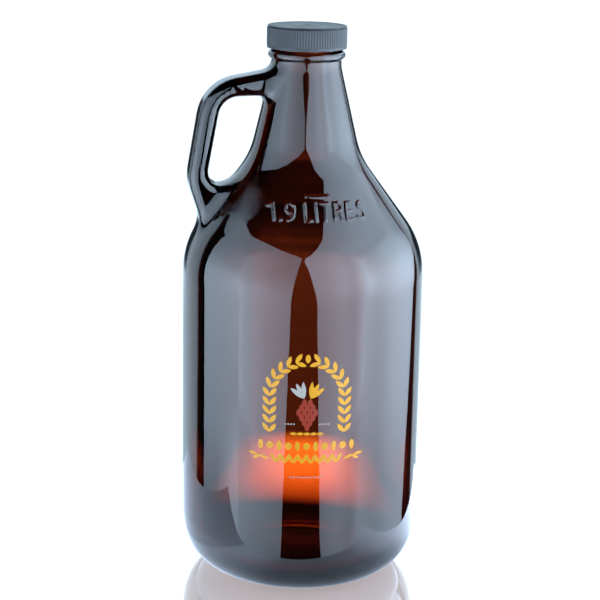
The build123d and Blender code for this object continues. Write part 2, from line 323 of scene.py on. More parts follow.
def jug_field(points, reach=FAR):
    """Signed distance to the outer surface, near enough; points are (n, 3)."""
    x, y, z = points.T
    radius = np.hypot(x, y)
    field = body_field(radius, z, reach)
    near = near_loop(x, y, z)
    loop = handle_field(x[near], y[near], z[near], reach)
    body = field[near]
    mix = np.maximum(HANDLE_BLEND - np.abs(body - loop), 0) / HANDLE_BLEND
    field[near] = np.minimum(body, loop) - mix * mix * HANDLE_BLEND / 4
    field -= mark_height(x, y, z)
    high = (z > BEAD_Z + BEAD_HALF) & (z < LIP_Z)
    angle = np.arctan2(y[high], x[high])
    field[high] -= ridge_height(
        angle, z[high], THREAD_LOW_Z, THREAD_TURNS, THREAD_RISE, THREAD_FOOT, THREAD_TIP
    )
    return field


def slope(points, step=0.15):
    """The field's gradient."""
    parts = []
    for axis in range(3):
        move = np.zeros(3)
        move[axis] = step
        parts.append(jug_field(points + move, NEAR) - jug_field(points - move, NEAR))
    return np.stack(parts, 1) / (2 * step)


# ---- Surface nets on a grid of angle, radius and height ------------------------------------------
def spaced(*runs):
    """Values with a given spacing over each (start, end, step) run; the runs follow each other."""
    values = []
    for start, end, step in runs:
        count = max(1, round((end - start) / step))
        values += list(start + (end - start) * np.arange(count) / count)
    values.append(runs[-1][1])
    return np.array(values)


def surface_net(field, angles, radii, heights):
    """Points and quads of field = 0.  The first axis of the grid wraps round."""
    field = np.concatenate([field, field[:1]])
    angles = np.append(angles, angles[0] + 2 * pi)
    inside = field < 0
    count = sum(
        inside[i: i + len(angles) - 1, j: j + len(radii) - 1, k: k + len(heights) - 1].astype(int)
        for i in (0, 1) for j in (0, 1) for k in (0, 1)
    )
    cells = np.argwhere((count > 0) & (count < 8))
    index = np.full(count.shape, -1)
    index[tuple(cells.T)] = np.arange(len(cells))
    total, weight = np.zeros((len(cells), 3)), np.zeros(len(cells))
    for axis in range(3):
        for u in (0, 1):
            for v in (0, 1):
                a = np.insert([u, v], axis, 0)
                b = np.insert([u, v], axis, 1)
                ca, cb = cells + a, cells + b
                fa, fb = field[tuple(ca.T)], field[tuple(cb.T)]
                cut = (fa < 0) != (fb < 0)
                share = np.where(cut, fa / np.where(cut, fa - fb, 1), 0)[:, None]
                pa = np.stack([angles[ca[:, 0]], radii[ca[:, 1]], heights[ca[:, 2]]], 1)
                pb = np.stack([angles[cb[:, 0]], radii[cb[:, 1]], heights[cb[:, 2]]], 1)
                total += np.where(cut[:, None], pa + (pb - pa) * share, 0)
                weight += cut
    place = total / weight[:, None]
    quads = []
    sizes = count.shape
    for axis in range(3):
        low = np.take(inside, range(0, inside.shape[axis] - 1), axis)
        high = np.take(inside, range(1, inside.shape[axis]), axis)
        if axis:
            low, high = low[:-1], high[:-1]
        edges = np.argwhere(low != high)
        one, two = [a for a in range(3) if a != axis]
        keep = np.ones(len(edges), bool)
        for a in (one, two):
            if a:
                keep &= (edges[:, a] > 0) & (edges[:, a] < sizes[a])
        edges = edges[keep]
        corners = []
        for da, db in ((-1, -1), (0, -1), (0, 0), (-1, 0)):
            cell = edges.copy()
            cell[:, one] += da
            cell[:, two] += db
            cell[:, 0] %= sizes[0]
            corners.append(index[tuple(cell.T)])
        quads.append(np.stack(corners, 1))
    x = place[:, 1] * np.cos(place[:, 0])
    y = place[:, 1] * np.sin(place[:, 0])
    return np.stack([x, y, place[:, 2]], 1), np.vstack(quads), cells


# The grid is fine where the mark, the handle, the bead and the thread are
MARK_SIDE, LOOP_SIDE = radians(35), radians(20)
MARK_STEP, LOOP_STEP, PLAIN_STEP = radians(0.52), radians(1.0), radians(2.4)
GRID_RADII = (4.0, 64.0, 1.5)
GRID_HEIGHTS = [
    (-1.5, 36.0, 1.7), (36.0, 152.0, 4.0), (152.0, 191.6, 1.8), (191.6, 205.2, 0.31),
    (205.2, 264.2, 1.8), (264.2, 272.0, 0.55), (272.0, LIP_Z - 0.2, 0.5),
    (LIP_Z - 0.2, LIP_Z + 0.5, 0.35),
]


def jug_shell():
    """Points, quads and grid cells of the jug's outer surface."""
    front = -pi / 2
    angles = spaced(
        (front - MARK_SIDE, front + MARK_SIDE, MARK_STEP),
        (front + MARK_SIDE, pi - LOOP_SIDE, PLAIN_STEP),
        (pi - LOOP_SIDE, pi + LOOP_SIDE, LOOP_STEP),
        (pi + LOOP_SIDE, front - MARK_SIDE + 2 * pi, PLAIN_STEP),
    )[:-1]
    radii, heights = spaced(GRID_RADII), spaced(*GRID_HEIGHTS)
    rr, hh = np.meshgrid(radii, heights, indexing="ij")
    body = body_field(rr.ravel(), hh.ravel(), FAR).reshape(rr.shape)
    field = np.repeat(body[None], len(angles), 0)
    aa, rr, hh = np.meshgrid(angles, radii, heights, indexing="ij")
    x, y = rr * np.cos(aa), rr * np.sin(aa)
    busy = near_loop(x, y, hh) | near_mark(x, y, hh)
    busy |= (hh > BEAD_Z + BEAD_HALF) & (rr > NECK_R - 3) & (rr < NECK_R + 4)
    field[busy] = jug_field(np.stack([x[busy], y[busy], hh[busy]], 1))
    points, quads, cells = surface_net(field, angles, radii, heights)
    for _ in range(3):
        grad = slope(points)
        size = np.maximum((grad ** 2).sum(1), 0.2)
        points -= np.clip(jug_field(points, NEAR) / size, -1, 1)[:, None] * grad
    return points, quads, cells, angles, radii


def ring_of(cells, points, keep):
    """Indices of the kept points in the order of their angle, one for each grid column."""
    chosen = np.flatnonzero(keep)
    return list(chosen[np.argsort(cells[chosen, 0], kind="stable")])


class Shell:
    """Points and faces of a mesh that is put together from rings."""

    def __init__(self):
        self.points, self.faces = [], []

    def ring(self, radius, height, angles):
        """Adds a ring about the axis and returns its indices."""
        first = len(self.points)
        radius = np.broadcast_to(radius, len(angles))
        height = np.broadcast_to(height, len(angles))
        self.points += list(np.stack([radius * np.cos(angles), radius * np.sin(angles), height], 1))
        return list(range(first, len(self.points)))

    def loft(self, low, high):
        """Quads between two rings, or triangles too where high has a point for every few of low."""
        step = len(low) // len(high)
        for i in range(len(high)):
            a, b = high[i], high[(i + 1) % len(high)]
            steps = [low[(i * step + s) % len(low)] for s in range(step + 1)]
            if step == 1:
                self.faces.append((steps[0], steps[1], b, a))
                continue
            half = step // 2
            for s in range(step):
                self.faces.append((steps[s], steps[s + 1], a if s < half else b))
            self.faces.append((steps[half], b, a))

    def fan(self, ring, height):
        """Closes a ring on a point on the axis."""
        self.points.append(np.array([0.0, 0.0, height]))
        middle = len(self.points) - 1
        for a, b in zip(ring, ring[1:] + ring[:1]):
            self.faces.append((a, b, middle))


def mesh_object(name, points, faces):
    """A smooth-shaded mesh object from points in millimetres, with its faces turned outwards."""
    mesh = bpy.data.meshes.new(name)
    mesh.from_pydata((np.array(points) * MM).tolist(), [], [tuple(int(i) for i in f) for f in faces])
    mesh.validate()
    obj = bpy.data.objects.new(name, mesh)
    scene.collection.objects.link(obj)
    bpy.context.view_layer.objects.active = obj
    obj.select_set(True)
    bpy.ops.object.mode_set(mode="EDIT")
    bpy.ops.mesh.select_all(action="SELECT")
    bpy.ops.mesh.normals_make_consistent(inside=False)
    bpy.ops.object.mode_set(mode="OBJECT")
    obj.select_set(False)
    mesh.shade_smooth()
    return obj


# The lip's inner edge, as (radius, height)
INNER_LIP = [(15.15, LIP_Z), (14.75, LIP_Z - 0.18), (14.55, LIP_Z - 0.6), (BORE_R, LIP_Z - 1.2)]
INNER_STEP = 3.0


def amber_jug():
    """The outer surface, with the inner wall hung from the lip as one closed shell."""
    points, quads, cells, angles, radii = jug_shell()
    lip_row = int(np.searchsorted(radii, BORE_R + 0.8)) - 1
    on_lip = points[:, 2] > LIP_Z - 0.05
    drop = on_lip & (cells[:, 1] < lip_row) & (np.hypot(points[:, 0], points[:, 1]) < NECK_R - 1)
    quads = quads[~drop[quads].any(1)]
    lip = ring_of(cells, points, on_lip & (cells[:, 1] == lip_row))
    foot = ring_of(cells, points, (cells[:, 1] == 0) & (points[:, 2] < 20))
    middles = angles + np.diff(np.append(angles, angles[0] + 2 * pi)) / 2
    shell = Shell()
    shell.points = list(points)
    shell.faces = [tuple(q) for q in quads]
    shell.fan(foot, PUSH_UP)
    ring = lip
    for radius, height in INNER_LIP:
        above = ring
        ring = shell.ring(radius, height, middles)
        shell.loft(above, ring)
    inner = inner_profile(INNER_STEP)[::-1]
    for radius, height in inner[:-1]:
        above = ring
        ring = shell.ring(radius, height, middles[::2])
        shell.loft(above, ring)
    shell.fan(ring, INNER_FLOOR_Z + PUSH_UP)
    return mesh_object("glass_jug_moulded", shell.points, shell.faces)


jug = amber_jug()
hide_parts("glass_jug")
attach(jug, "jug")


# ---- The screw cap -------------------------------------------------------------------------------
CAP_R, CAP_BOTTOM, CAP_TOP, CAP_PLATE, CAP_BORE_R = 20.0, 271.5, 282.7, 1.6, 18.85
CAP_RISE, CAP_FOOT, CAP_TIP, CAP_SKIP, CAP_TURNS = 1.1, 1.9, 0.7, 0.35, 0.9
CAP_LOW_Z = THREAD_LOW_Z - PITCH / 2 + 0.5
RIB_COUNT, RIB_DEPTH, RIB_STEPS = 90, 0.35, 8
CAP_SIDE = [        # radius, height and how much of the ribs' depth shows
    (CAP_BORE_R, CAP_BOTTOM + 0.25, 0), (19.1, CAP_BOTTOM, 0), (19.7, CAP_BOTTOM, 0),
    (19.88, CAP_BOTTOM + 0.15, 0), (19.9, CAP_BOTTOM + 0.5, 0), (19.9, CAP_BOTTOM + 1.05, 0),
    (19.9, CAP_BOTTOM + 1.3, 0.1), (19.97, CAP_BOTTOM + 1.45, 0.8), (CAP_R, CAP_BOTTOM + 1.8, 1),
    (CAP_R, CAP_BOTTOM + 4.0, 1), (CAP_R, CAP_BOTTOM + 7.0, 1), (CAP_R, CAP_TOP - 1.3, 1),
    (19.96, CAP_TOP - 1.05, 0.8), (19.7, CAP_TOP - 0.95, 0.2), (19.1, CAP_TOP - 0.9, 0),
    (19.0, CAP_TOP - 0.72, 0), (19.1, CAP_TOP - 0.55, 0), (19.66, CAP_TOP - 0.5, 0),
    (19.76, CAP_TOP - 0.38, 0), (19.72, CAP_TOP - 0.16, 0), (19.56, CAP_TOP - 0.04, 0),
    (19.3, CAP_TOP, 0), (18.4, CAP_TOP, 0), (18.1, CAP_TOP - 0.06, 0), (17.9, CAP_TOP - 0.16, 0),
    (17.6, CAP_TOP - 0.2, 0),
]
CAP_FACE = [        # the top's middle, with the small dimple that the mould's gate leaves
    (14.0, CAP_TOP - 0.19), (9.0, CAP_TOP - 0.18), (4.0, CAP_TOP - 0.18), (1.7, CAP_TOP - 0.18),
    (1.35, CAP_TOP - 0.26), (1.0, CAP_TOP - 0.52), (0.75, CAP_TOP - 0.55), (0.45, CAP_TOP - 0.3),
    (0.2, CAP_TOP - 0.24),
]


def ribbed_cap():
    """The cap as one closed shell: its side and top outside, its thread and plate inside."""
    turns = np.arange(RIB_COUNT * RIB_STEPS) / RIB_STEPS
    angles = turns * 2 * pi / RIB_COUNT
    groove = smooth(np.abs(turns % 1 - 0.5), 0.42, 0.12)
    coarse = angles[::4]
    shell = Shell()
    ring = None
    for radius, height, ribs in CAP_SIDE:
        below = ring
        ring = shell.ring(radius - RIB_DEPTH * ribs * groove, height, angles)
        if below:
            shell.loft(below, ring)
        else:
            first = ring
    for radius, height in CAP_FACE:
        below = ring
        ring = shell.ring(radius, height, coarse)
        shell.loft(below, ring)
    shell.fan(ring, CAP_TOP - 0.23)
    ring = first
    for height in spaced((CAP_BOTTOM + 0.6, CAP_TOP - CAP_PLATE - 0.3, 0.33)):
        above = ring
        level = np.full(len(coarse), height)
        thread = ridge_height(coarse, level, CAP_LOW_Z + PITCH * CAP_SKIP, CAP_TURNS, CAP_RISE,
                              CAP_FOOT, CAP_TIP, CAP_SKIP)
        ring = shell.ring(CAP_BORE_R - thread, height, coarse)
        shell.loft(above, ring)
    for radius in (CAP_BORE_R - 0.25, 14.0, 7.0):
        above = ring
        ring = shell.ring(radius, CAP_TOP - CAP_PLATE, coarse)
        shell.loft(above, ring)
    shell.fan(ring, CAP_TOP - CAP_PLATE)
    return mesh_object("screw_cap_ribbed", shell.points, shell.faces)


cap = ribbed_cap()
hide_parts("screw_cap")
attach(cap, "cap")


# ---- Materials -----------------------------------------------------------------------------------
def material(name):
    """A new material, its nodes and links, and its shader."""
    made = bpy.data.materials.new(name)
    made.use_nodes = True
    nodes = made.node_tree.nodes
    return made, nodes, made.node_tree.links, nodes["Principled BSDF"]


def textured(nodes, links, scale, detail, rough=0.55):
    """Noise in the object's own coordinates."""
    spot = nodes.new("ShaderNodeTexCoord")
    noise = nodes.new("ShaderNodeTexNoise")
    noise.inputs["Scale"].default_value = scale
    noise.inputs["Detail"].default_value = detail
    noise.inputs["Roughness"].default_value = rough
    links.new(spot.outputs["Object"], noise.inputs["Vector"])
    return noise.outputs["Fac"]


def spread(nodes, links, value, low, high, start=0.3, end=0.7):
    """Maps a noise value to a range."""
    scale = nodes.new("ShaderNodeMapRange")
    scale.inputs["From Min"].default_value = start
    scale.inputs["From Max"].default_value = end
    scale.inputs["To Min"].default_value = low
    scale.inputs["To Max"].default_value = high
    links.new(value, scale.inputs["Value"])
    return scale.outputs["Result"]


def two_tone(nodes, links, value, dark, light):
    """A colour from dark to light as value goes from 0 to 1."""
    blend = nodes.new("ShaderNodeMix")
    blend.data_type = "RGBA"
    blend.inputs[6].default_value = (*dark, 1.0)
    blend.inputs[7].default_value = (*light, 1.0)
    links.new(value, blend.inputs["Factor"])
    return blend.outputs[2]


def bumped(nodes, links, height, far, before=None):
    """A bump whose full height stands for far millimetres."""
    bump = nodes.new("ShaderNodeBump")
    bump.inputs["Distance"].default_value = far * MM
    links.new(height, bump.inputs["Height"])
    if before:
        links.new(before, bump.inputs["Normal"])
    return bump.outputs["Normal"]


def near_spot(nodes, links, centre, radius):
    """One at a point on the object, falling to nothing at radius millimetres from it."""
    spot = nodes.new("ShaderNodeTexCoord")
    gap = nodes.new("ShaderNodeVectorMath")
    gap.operation = "DISTANCE"
    gap.inputs[1].default_value = tuple(c * MM for c in centre)
    links.new(spot.outputs["Object"], gap.inputs[0])
    fall = nodes.new("ShaderNodeMapRange")
    fall.interpolation_type = "SMOOTHSTEP"
    fall.inputs["From Min"].default_value = radius * MM
    fall.inputs["From Max"].default_value = radius * 0.4 * MM
    links.new(gap.outputs["Value"], fall.inputs["Value"])
    return fall.outputs["Result"]


def product(nodes, links, one, two):
    """One value times the other."""
    both = nodes.new("ShaderNodeMath")
    both.operation = "MULTIPLY"
    links.new(one, both.inputs[0])
    links.new(two, both.inputs[1])
    return both.outputs[0]


GLASS_IOR = 1.52
GLASS_PASSES, GLASS_DENSITY = (0.705, 0.43, 0.24), 1000.0       # what 1 / density metres lets through
PEBBLES_AT, PEBBLES_R = (-32.0, -24.0, 199.0), 15.0             # beside the loop's foot


def amber_glass():
    """Brown glass, a little wavy all over and pebbly where the mould met the loop's foot."""
    made, nodes, links, shader = material("amber_glass")
    shader.inputs["Base Color"].default_value = (1.0, 1.0, 1.0, 1.0)
    shader.inputs["Roughness"].default_value = 0.0
    shader.inputs["IOR"].default_value = GLASS_IOR
    shader.inputs["Transmission Weight"].default_value = 1.0
    wave = bumped(nodes, links, textured(nodes, links, 45.0, 2.0), 0.05)
    grain = textured(nodes, links, 1100.0, 3.0)
    pebbles = product(nodes, links, grain, near_spot(nodes, links, PEBBLES_AT, PEBBLES_R))
    links.new(bumped(nodes, links, pebbles, 0.12, wave), shader.inputs["Normal"])
    inside = nodes.new("ShaderNodeVolumeAbsorption")
    inside.inputs["Color"].default_value = (*GLASS_PASSES, 1.0)
    inside.inputs["Density"].default_value = GLASS_DENSITY
    links.new(inside.outputs[0], nodes["Material Output"].inputs["Volume"])
    return made


def enamel(name, dark, light, rough):
    """Fired enamel: grainy colour, with an uneven, slightly worn gloss."""
    made, nodes, links, shader = material(name)
    grain = textured(nodes, links, 700.0, 4.0)
    colour = two_tone(nodes, links, spread(nodes, links, grain, 0, 1), dark, light)
    links.new(colour, shader.inputs["Base Color"])
    links.new(spread(nodes, links, grain, rough + 0.1, rough - 0.05), shader.inputs["Roughness"])
    links.new(bumped(nodes, links, textured(nodes, links, 1800.0, 2.0), 0.02), shader.inputs["Normal"])
    shader.inputs["Specular IOR Level"].default_value = 0.25
    return made


def cap_plastic():
    """Charcoal moulded plastic with a fine spark-eroded grain and faint flow marks."""
    made, nodes, links, shader = material("cap_plastic")
    cloud = textured(nodes, links, 90.0, 5.0)
    colour = two_tone(nodes, links, spread(nodes, links, cloud, 0, 1), (0.014, 0.016, 0.018),
                      (0.022, 0.025, 0.028))
    links.new(colour, shader.inputs["Base Color"])
    links.new(spread(nodes, links, cloud, 0.46, 0.36), shader.inputs["Roughness"])
    grain = bumped(nodes, links, textured(nodes, links, 2600.0, 3.0), 0.012)
    links.new(bumped(nodes, links, cloud, 0.05, grain), shader.inputs["Normal"])
    shader.inputs["Specular IOR Level"].default_value = 0.3
    return made


def liner_foam():
    """Pale closed-cell foam with fine pores."""
    made, nodes, links, shader = material("liner_foam")
    spot = nodes.new("ShaderNodeTexCoord")
    cells = nodes.new("ShaderNodeTexVoronoi")
    cells.inputs["Scale"].default_value = 1600.0
    links.new(spot.outputs["Object"], cells.inputs["Vector"])
    pores = spread(nodes, links, cells.outputs["Distance"], 0, 1, 0.05, 0.5)
    colour = two_tone(nodes, links, pores, (0.42, 0.41, 0.38), (0.62, 0.61, 0.58))
    links.new(colour, shader.inputs["Base Color"])
    rough = spread(nodes, links, textured(nodes, links, 120.0, 3.0), 0.7, 0.9)
    links.new(rough, shader.inputs["Roughness"])
    links.new(bumped(nodes, links, pores, 0.06), shader.inputs["Normal"])
    return made


jug.data.materials.append(amber_glass())
cap.data.materials.append(cap_plastic())
for node, made in (
    ("gold_enamel_print", enamel("gold_enamel", (0.28, 0.12, 0.003), (0.38, 0.17, 0.005), 0.35)),
    ("red_enamel_print", enamel("red_enamel", (0.11, 0.010, 0.004), (0.17, 0.018, 0.007), 0.35)),
    ("white_enamel_print", enamel("white_enamel", (0.16, 0.14, 0.12), (0.22, 0.20, 0.18), 0.4)),
    ("cap_liner", liner_foam()),
):
    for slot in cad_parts[node].material_slots:
        slot.material = made


# ---- Camera --------------------------------------------------------------------------------------
TURN = radians(9.75)            # the camera stands this far round towards the handle
CAMERA_FAR, CAMERA_HIGH = 858.5, 362.6
PITCH_DOWN, PAN, ROLL = radians(14.43), radians(-0.075), radians(1.054)
LENS, SENSOR = 102.96, 36.0


def turned(x, y, z):
    """A point or direction in the camera's upright frame, put into the jug's."""
    return Vector((x * cos(TURN) + y * sin(TURN), -x * sin(TURN) + y * cos(TURN), z))


def add_camera():
    """The photographer's camera: above the shoulder, looking down at the jug's front."""
    ahead = Vector((sin(PAN) * cos(PITCH_DOWN), cos(PAN) * cos(PITCH_DOWN), -sin(PITCH_DOWN)))
    right = Vector((cos(PAN), -sin(PAN), 0))
    up = right.cross(ahead)
    x_axis = right * cos(ROLL) + up * sin(ROLL)
    y_axis = -right * sin(ROLL) + up * cos(ROLL)
    axes = [turned(*axis) for axis in (x_axis, y_axis, -ahead)]
    data = bpy.data.cameras.new("camera")
    data.lens, data.sensor_width = LENS, SENSOR
    data.clip_start, data.clip_end = 0.05, 20.0
    camera = bpy.data.objects.new("camera", data)
    matrix = Matrix([[axes[c][r] for c in range(3)] for r in range(3)]).to_4x4()
    matrix.translation = turned(0, -CAMERA_FAR, CAMERA_HIGH) * MM
    camera.matrix_world = matrix
    scene.collection.objects.link(camera)
    scene.camera = camera


add_camera()


# ---- Studio --------------------------------------------------------------------------------------
def card(name, spots, brightness, colour, seen_by=("diffuse", "glossy", "transmission"), kind="solid"):
    """A glowing sheet.  spots[row][column] are points in the camera's frame; brightness(x, y, z) is
    its radiance there.  A clear one lets through what is behind it; a filter doesn't glow, and
    brightness is the share that it lets through."""
    rows, columns = len(spots), len(spots[0])
    flat = [spot for row in spots for spot in row]
    faces = []
    for j in range(rows - 1):
        for i in range(columns - 1):
            k = j * columns + i
            faces.append((k, k + 1, k + columns + 1, k + columns))
    mesh = bpy.data.meshes.new(name)
    mesh.from_pydata([turned(*spot) * MM for spot in flat], [], faces)
    level = mesh.attributes.new("glow", "FLOAT", "POINT")
    level.data.foreach_set("value", [brightness(*spot) for spot in flat])
    obj = bpy.data.objects.new(name, mesh)
    scene.collection.objects.link(obj)
    made = bpy.data.materials.new(name)
    made.use_nodes = True
    nodes, links = made.node_tree.nodes, made.node_tree.links
    nodes.remove(nodes["Principled BSDF"])
    shine = nodes.new("ShaderNodeEmission")
    shine.inputs["Color"].default_value = (*colour, 1.0)
    read = nodes.new("ShaderNodeAttribute")
    read.attribute_name = "glow"
    links.new(read.outputs["Fac"], shine.inputs["Strength"])
    both = nodes.new("ShaderNodeAddShader")
    through = nodes.new("ShaderNodeBsdfTransparent")
    if kind != "filter":
        links.new(shine.outputs[0], both.inputs[0])
    else:
        links.new(read.outputs["Fac"], through.inputs["Color"])
    if kind != "solid":
        links.new(through.outputs[0], both.inputs[1])
    links.new(both.outputs[0], nodes["Material Output"].inputs["Surface"])
    mesh.materials.append(made)
    obj.visible_camera = False
    obj.visible_shadow = False
    obj.visible_diffuse = "diffuse" in seen_by
    obj.visible_glossy = "glossy" in seen_by
    obj.visible_transmission = "transmission" in seen_by


def ramp(*stops):
    """A function that runs through (position, value) stops."""
    xs, ys = zip(*sorted(stops))
    return lambda u: float(np.interp(u, xs, ys))


def lofted(low, high, rows, columns):
    """Points between the curves low(t) and high(t), t from 0 to 1 along the rows."""
    spots = []
    for t in np.linspace(0, 1, rows):
        a, b = np.array(low(t), float), np.array(high(t), float)
        spots.append([tuple(a + (b - a) * u) for u in np.linspace(0, 1, columns)])
    return spots


COOL, PLINTH_COLOUR, GLOW_COLOUR = (0.80, 1.0, 1.24), (0.76, 0.93, 1.2), (1.0, 1.3, 0.5)
MIRRORED = ("diffuse", "glossy")        # for sheets that aren't to be seen through the glass
FRONT_Y, LEFT_X, RIGHT_X = -215.0, -325.0, 350.0
WALL_TOP, WALL_LOW = 375.0, -260.0
LEFT_BACK_Y, CEILING_BACK_Y = 42, 320


def wall_z(t):
    return WALL_LOW + (WALL_TOP - WALL_LOW) * t


# The tent's front is two sheets whose edges leave a slit that ends in a wide notch at the top
slit_left = ramp((-260, -80), (115, -34), (205, -21), (240, -15), (285, -5), (300, -3), (315, -21),
                 (335, -50), (356, -83), (375, -105))
slit_right = ramp((-260, 114), (-63, 76), (115, 46), (205, 27), (240, 19), (285, 6), (300, 8),
                  (322, 30), (350, 45), (375, 58))
left_along = ramp((-325, 6.3), (-280, 5.5), (-215, 4.9), (-150, 4.2), (-90, 3.4), (-38, 2.9))
left_up = ramp((-260, 0.4), (-60, 0.6), (-30, 0.7), (-5, 0.75), (9, 0.94), (92, 1.0), (139, 1.1),
               (175, 0.95), (216, 0.78), (284, 0.7), (375, 0.56))
FRONT_LEFT_LEVEL = 1.17
card("front_left", lofted(lambda t: (slit_left(wall_z(t)), FRONT_Y, wall_z(t)),
     lambda t: (LEFT_X, FRONT_Y, wall_z(t)), 160, 24),
     lambda x, y, z: left_along(x) * left_up(z) * FRONT_LEFT_LEVEL, COOL, MIRRORED)

right_along = ramp((40, 3.5), (75, 3.7), (110, 4.4), (145, 5.0), (210, 4.6), (260, 5.6), (310, 7.0),
                   (350, 7.6))
right_up = ramp((-260, 0.4), (-60, 0.62), (-30, 0.7), (-5, 0.8), (9, 1.0), (92, 1.0), (140, 1.25),
                (217, 1.3), (284, 1.2), (375, 1.0))
card("front_right", lofted(lambda t: (slit_right(wall_z(t)), FRONT_Y, wall_z(t)),
     lambda t: (RIGHT_X, FRONT_Y, wall_z(t)), 160, 24),
     lambda x, y, z: right_along(x) * right_up(z), COOL)

left_back = ramp((-215, 6.2), (-150, 5.6), (-89, 5.0), (-20, 4.2), (42, 3.4))
side_up = ramp((-260, 0.25), (-60, 0.44), (0, 0.8), (70, 1.0), (105, 1.1), (186, 1.1), (220, 0.9),
               (264, 0.7), (375, 0.56))
corner_low, corner_near = ramp((-60, 0.9), (0, 0.0)), ramp((-170, 1.0), (-60, 0.0))
card("left", lofted(lambda t: (LEFT_X, FRONT_Y, wall_z(t)),
     lambda t: (LEFT_X, LEFT_BACK_Y, wall_z(t)), 60, 16),
     lambda x, y, z: left_back(y) * side_up(z) * (1 + corner_low(z) * corner_near(y)), COOL, MIRRORED)

right_back = ramp((-215, 7.6), (-120, 6.2), (0, 6.3), (80, 5.3), (150, 4.2), (240, 2.6), (330, 1.4))
right_side_up = ramp((-260, 0.4), (-60, 0.6), (0, 0.85), (66, 1.0), (108, 1.3), (192, 1.45),
                     (268, 1.2), (375, 0.95))
right_end = ramp((-260, 150), (-100, 160), (-56, 178), (-24, 204), (50, 236), (104, 240), (149, 262),
                 (210, 330))
card("right", lofted(lambda t: (RIGHT_X, FRONT_Y, wall_z(t)),
     lambda t: (RIGHT_X, right_end(wall_z(t)), wall_z(t)), 80, 24),
     lambda x, y, z: right_back(y) * right_side_up(z), COOL, MIRRORED)


# The ceiling is open over the jug
def ceiling_y(t):
    return FRONT_Y + (CEILING_BACK_Y - FRONT_Y) * t


hole_left = ramp((-215, -105), (-198, -118), (-155, -143), (-97, -183), (-48, -222), (10, -255),
                 (65, -277), (150, -310), (320, -324))
hole_right = ramp((-215, 58), (-165, 64), (-130, 76), (-105, 86), (-60, 92), (320, 92))
ceiling_along = ramp((-325, 2.9), (-230, 2.7), (-150, 2.4), (-105, 2.3), (58, 3.3), (100, 3.8),
                     (180, 5.0), (240, 5.6), (350, 5.4))
ceiling_back = ramp((-215, 1.05), (-60, 0.95), (0, 0.85), (60, 0.6), (150, 0.4), (320, 0.3))
right_fall = ramp((-215, 1.0), (-60, 0.95), (70, 0.8), (200, 0.7), (320, 0.4))
card("ceiling_left", lofted(lambda t: (LEFT_X, ceiling_y(t), WALL_TOP),
     lambda t: (hole_left(ceiling_y(t)), ceiling_y(t), WALL_TOP), 60, 8),
     lambda x, y, z: ceiling_along(x) * ceiling_back(y), COOL, MIRRORED)
card("ceiling_right", lofted(lambda t: (hole_right(ceiling_y(t)), ceiling_y(t), WALL_TOP),
     lambda t: (RIGHT_X, ceiling_y(t), WALL_TOP), 60, 24),
     lambda x, y, z: ceiling_along(x) * right_fall(y), COOL, MIRRORED)

# The plinth that the jug stands on, as its heel mirrors it: a glowing sheet that only reflections see,
# with the plinth's light painted on it
PLINTH_LEFT, PLINTH_RIGHT, PLINTH_DEEP, PLINTH_Z = -182, 123, 230, -0.2
PLINTH_NEAR_LEFT, PLINTH_NEAR_RIGHT = -96, -92
plinth_along = ramp((PLINTH_LEFT, 1.6), (-110, 1.9), (-78, 2.2), (-72, 3.3), (-40, 3.0), (-15, 1.6),
                    (20, 1.4), (60, 1.9), (PLINTH_RIGHT, 5.0))
# jug_shade is a painted shadow: the plinth's painted light falls off next to the jug's foot
jug_shade = ramp((62, 0.5), (66, 0.6), (72, 0.65), (95, 1.0))
card("plinth", lofted(lambda t: (PLINTH_LEFT, PLINTH_NEAR_LEFT + PLINTH_DEEP * t, PLINTH_Z),
     lambda t: (PLINTH_RIGHT, PLINTH_NEAR_RIGHT + PLINTH_DEEP * t, PLINTH_Z), 40, 60),
     lambda x, y, z: plinth_along(x) * jug_shade(hypot(x, y)), PLINTH_COLOUR, ("glossy",))

# The light spot on the table behind the jug
GLOW_LEFT, GLOW_WIDE, GLOW_FAR, GLOW_Z = -60, 124, 205, 2
GLOW_MIDDLE, GLOW_LEVEL = 3, 15.0
GLOW_ROUND, GLOW_ASIDE, GLOW_FLAT = 66, 6, 0.8
glow_across = ramp((0, 1.0), (10, 0.95), (20, 0.72), (31, 0.46), (41, 0.22), (52, 0.1), (58, 0.0))
glow_along = ramp((0, 0.0), (6, 0.2), (14, 0.5), (28, 0.75), (48, 0.95), (75, 1.0), (105, 1.05),
                  (125, 0.5), (138, 0.0))
glow_wide = ramp((0, 0.85), (20, 1.05), (45, 1.1), (110, 0.9))


def glow_near(x):
    """How far back the glow begins: it follows the jug's foot round."""
    return (GLOW_ROUND ** 2 - (x + GLOW_ASIDE) ** 2 * GLOW_FLAT) ** 0.5


def glow_x(t):
    return GLOW_LEFT + GLOW_WIDE * t


def spot_light(x, y, z):
    behind = y - glow_near(x)
    across = glow_across(abs(x - GLOW_MIDDLE) / glow_wide(behind))
    return GLOW_LEVEL * across * glow_along(behind)


card("table_glow", lofted(lambda t: (glow_x(t), glow_near(glow_x(t)), GLOW_Z),
     lambda t: (glow_x(t), GLOW_FAR, GLOW_Z), 42, 40),
     spot_light, GLOW_COLOUR, ("transmission",), "clear")

# Nothing stands behind the jug to its left, so its left edge is dark
DARK_LEFT, DARK_RIGHT, DARK_Y, DARK_LOW, DARK_TALL = -240, -40, 330, -200, 500
left_dark = ramp((DARK_LEFT, 0.0), (-100, 0.0), (-80, 0.35), (DARK_RIGHT, 1.0))
card("dark_left", lofted(lambda t: (DARK_LEFT, DARK_Y, DARK_LOW + DARK_TALL * t),
     lambda t: (DARK_RIGHT, DARK_Y, DARK_LOW + DARK_TALL * t), 4, 41),
     lambda x, y, z: left_dark(x), COOL, ("transmission",), "filter")


FLOOR = 6000                    # half its side


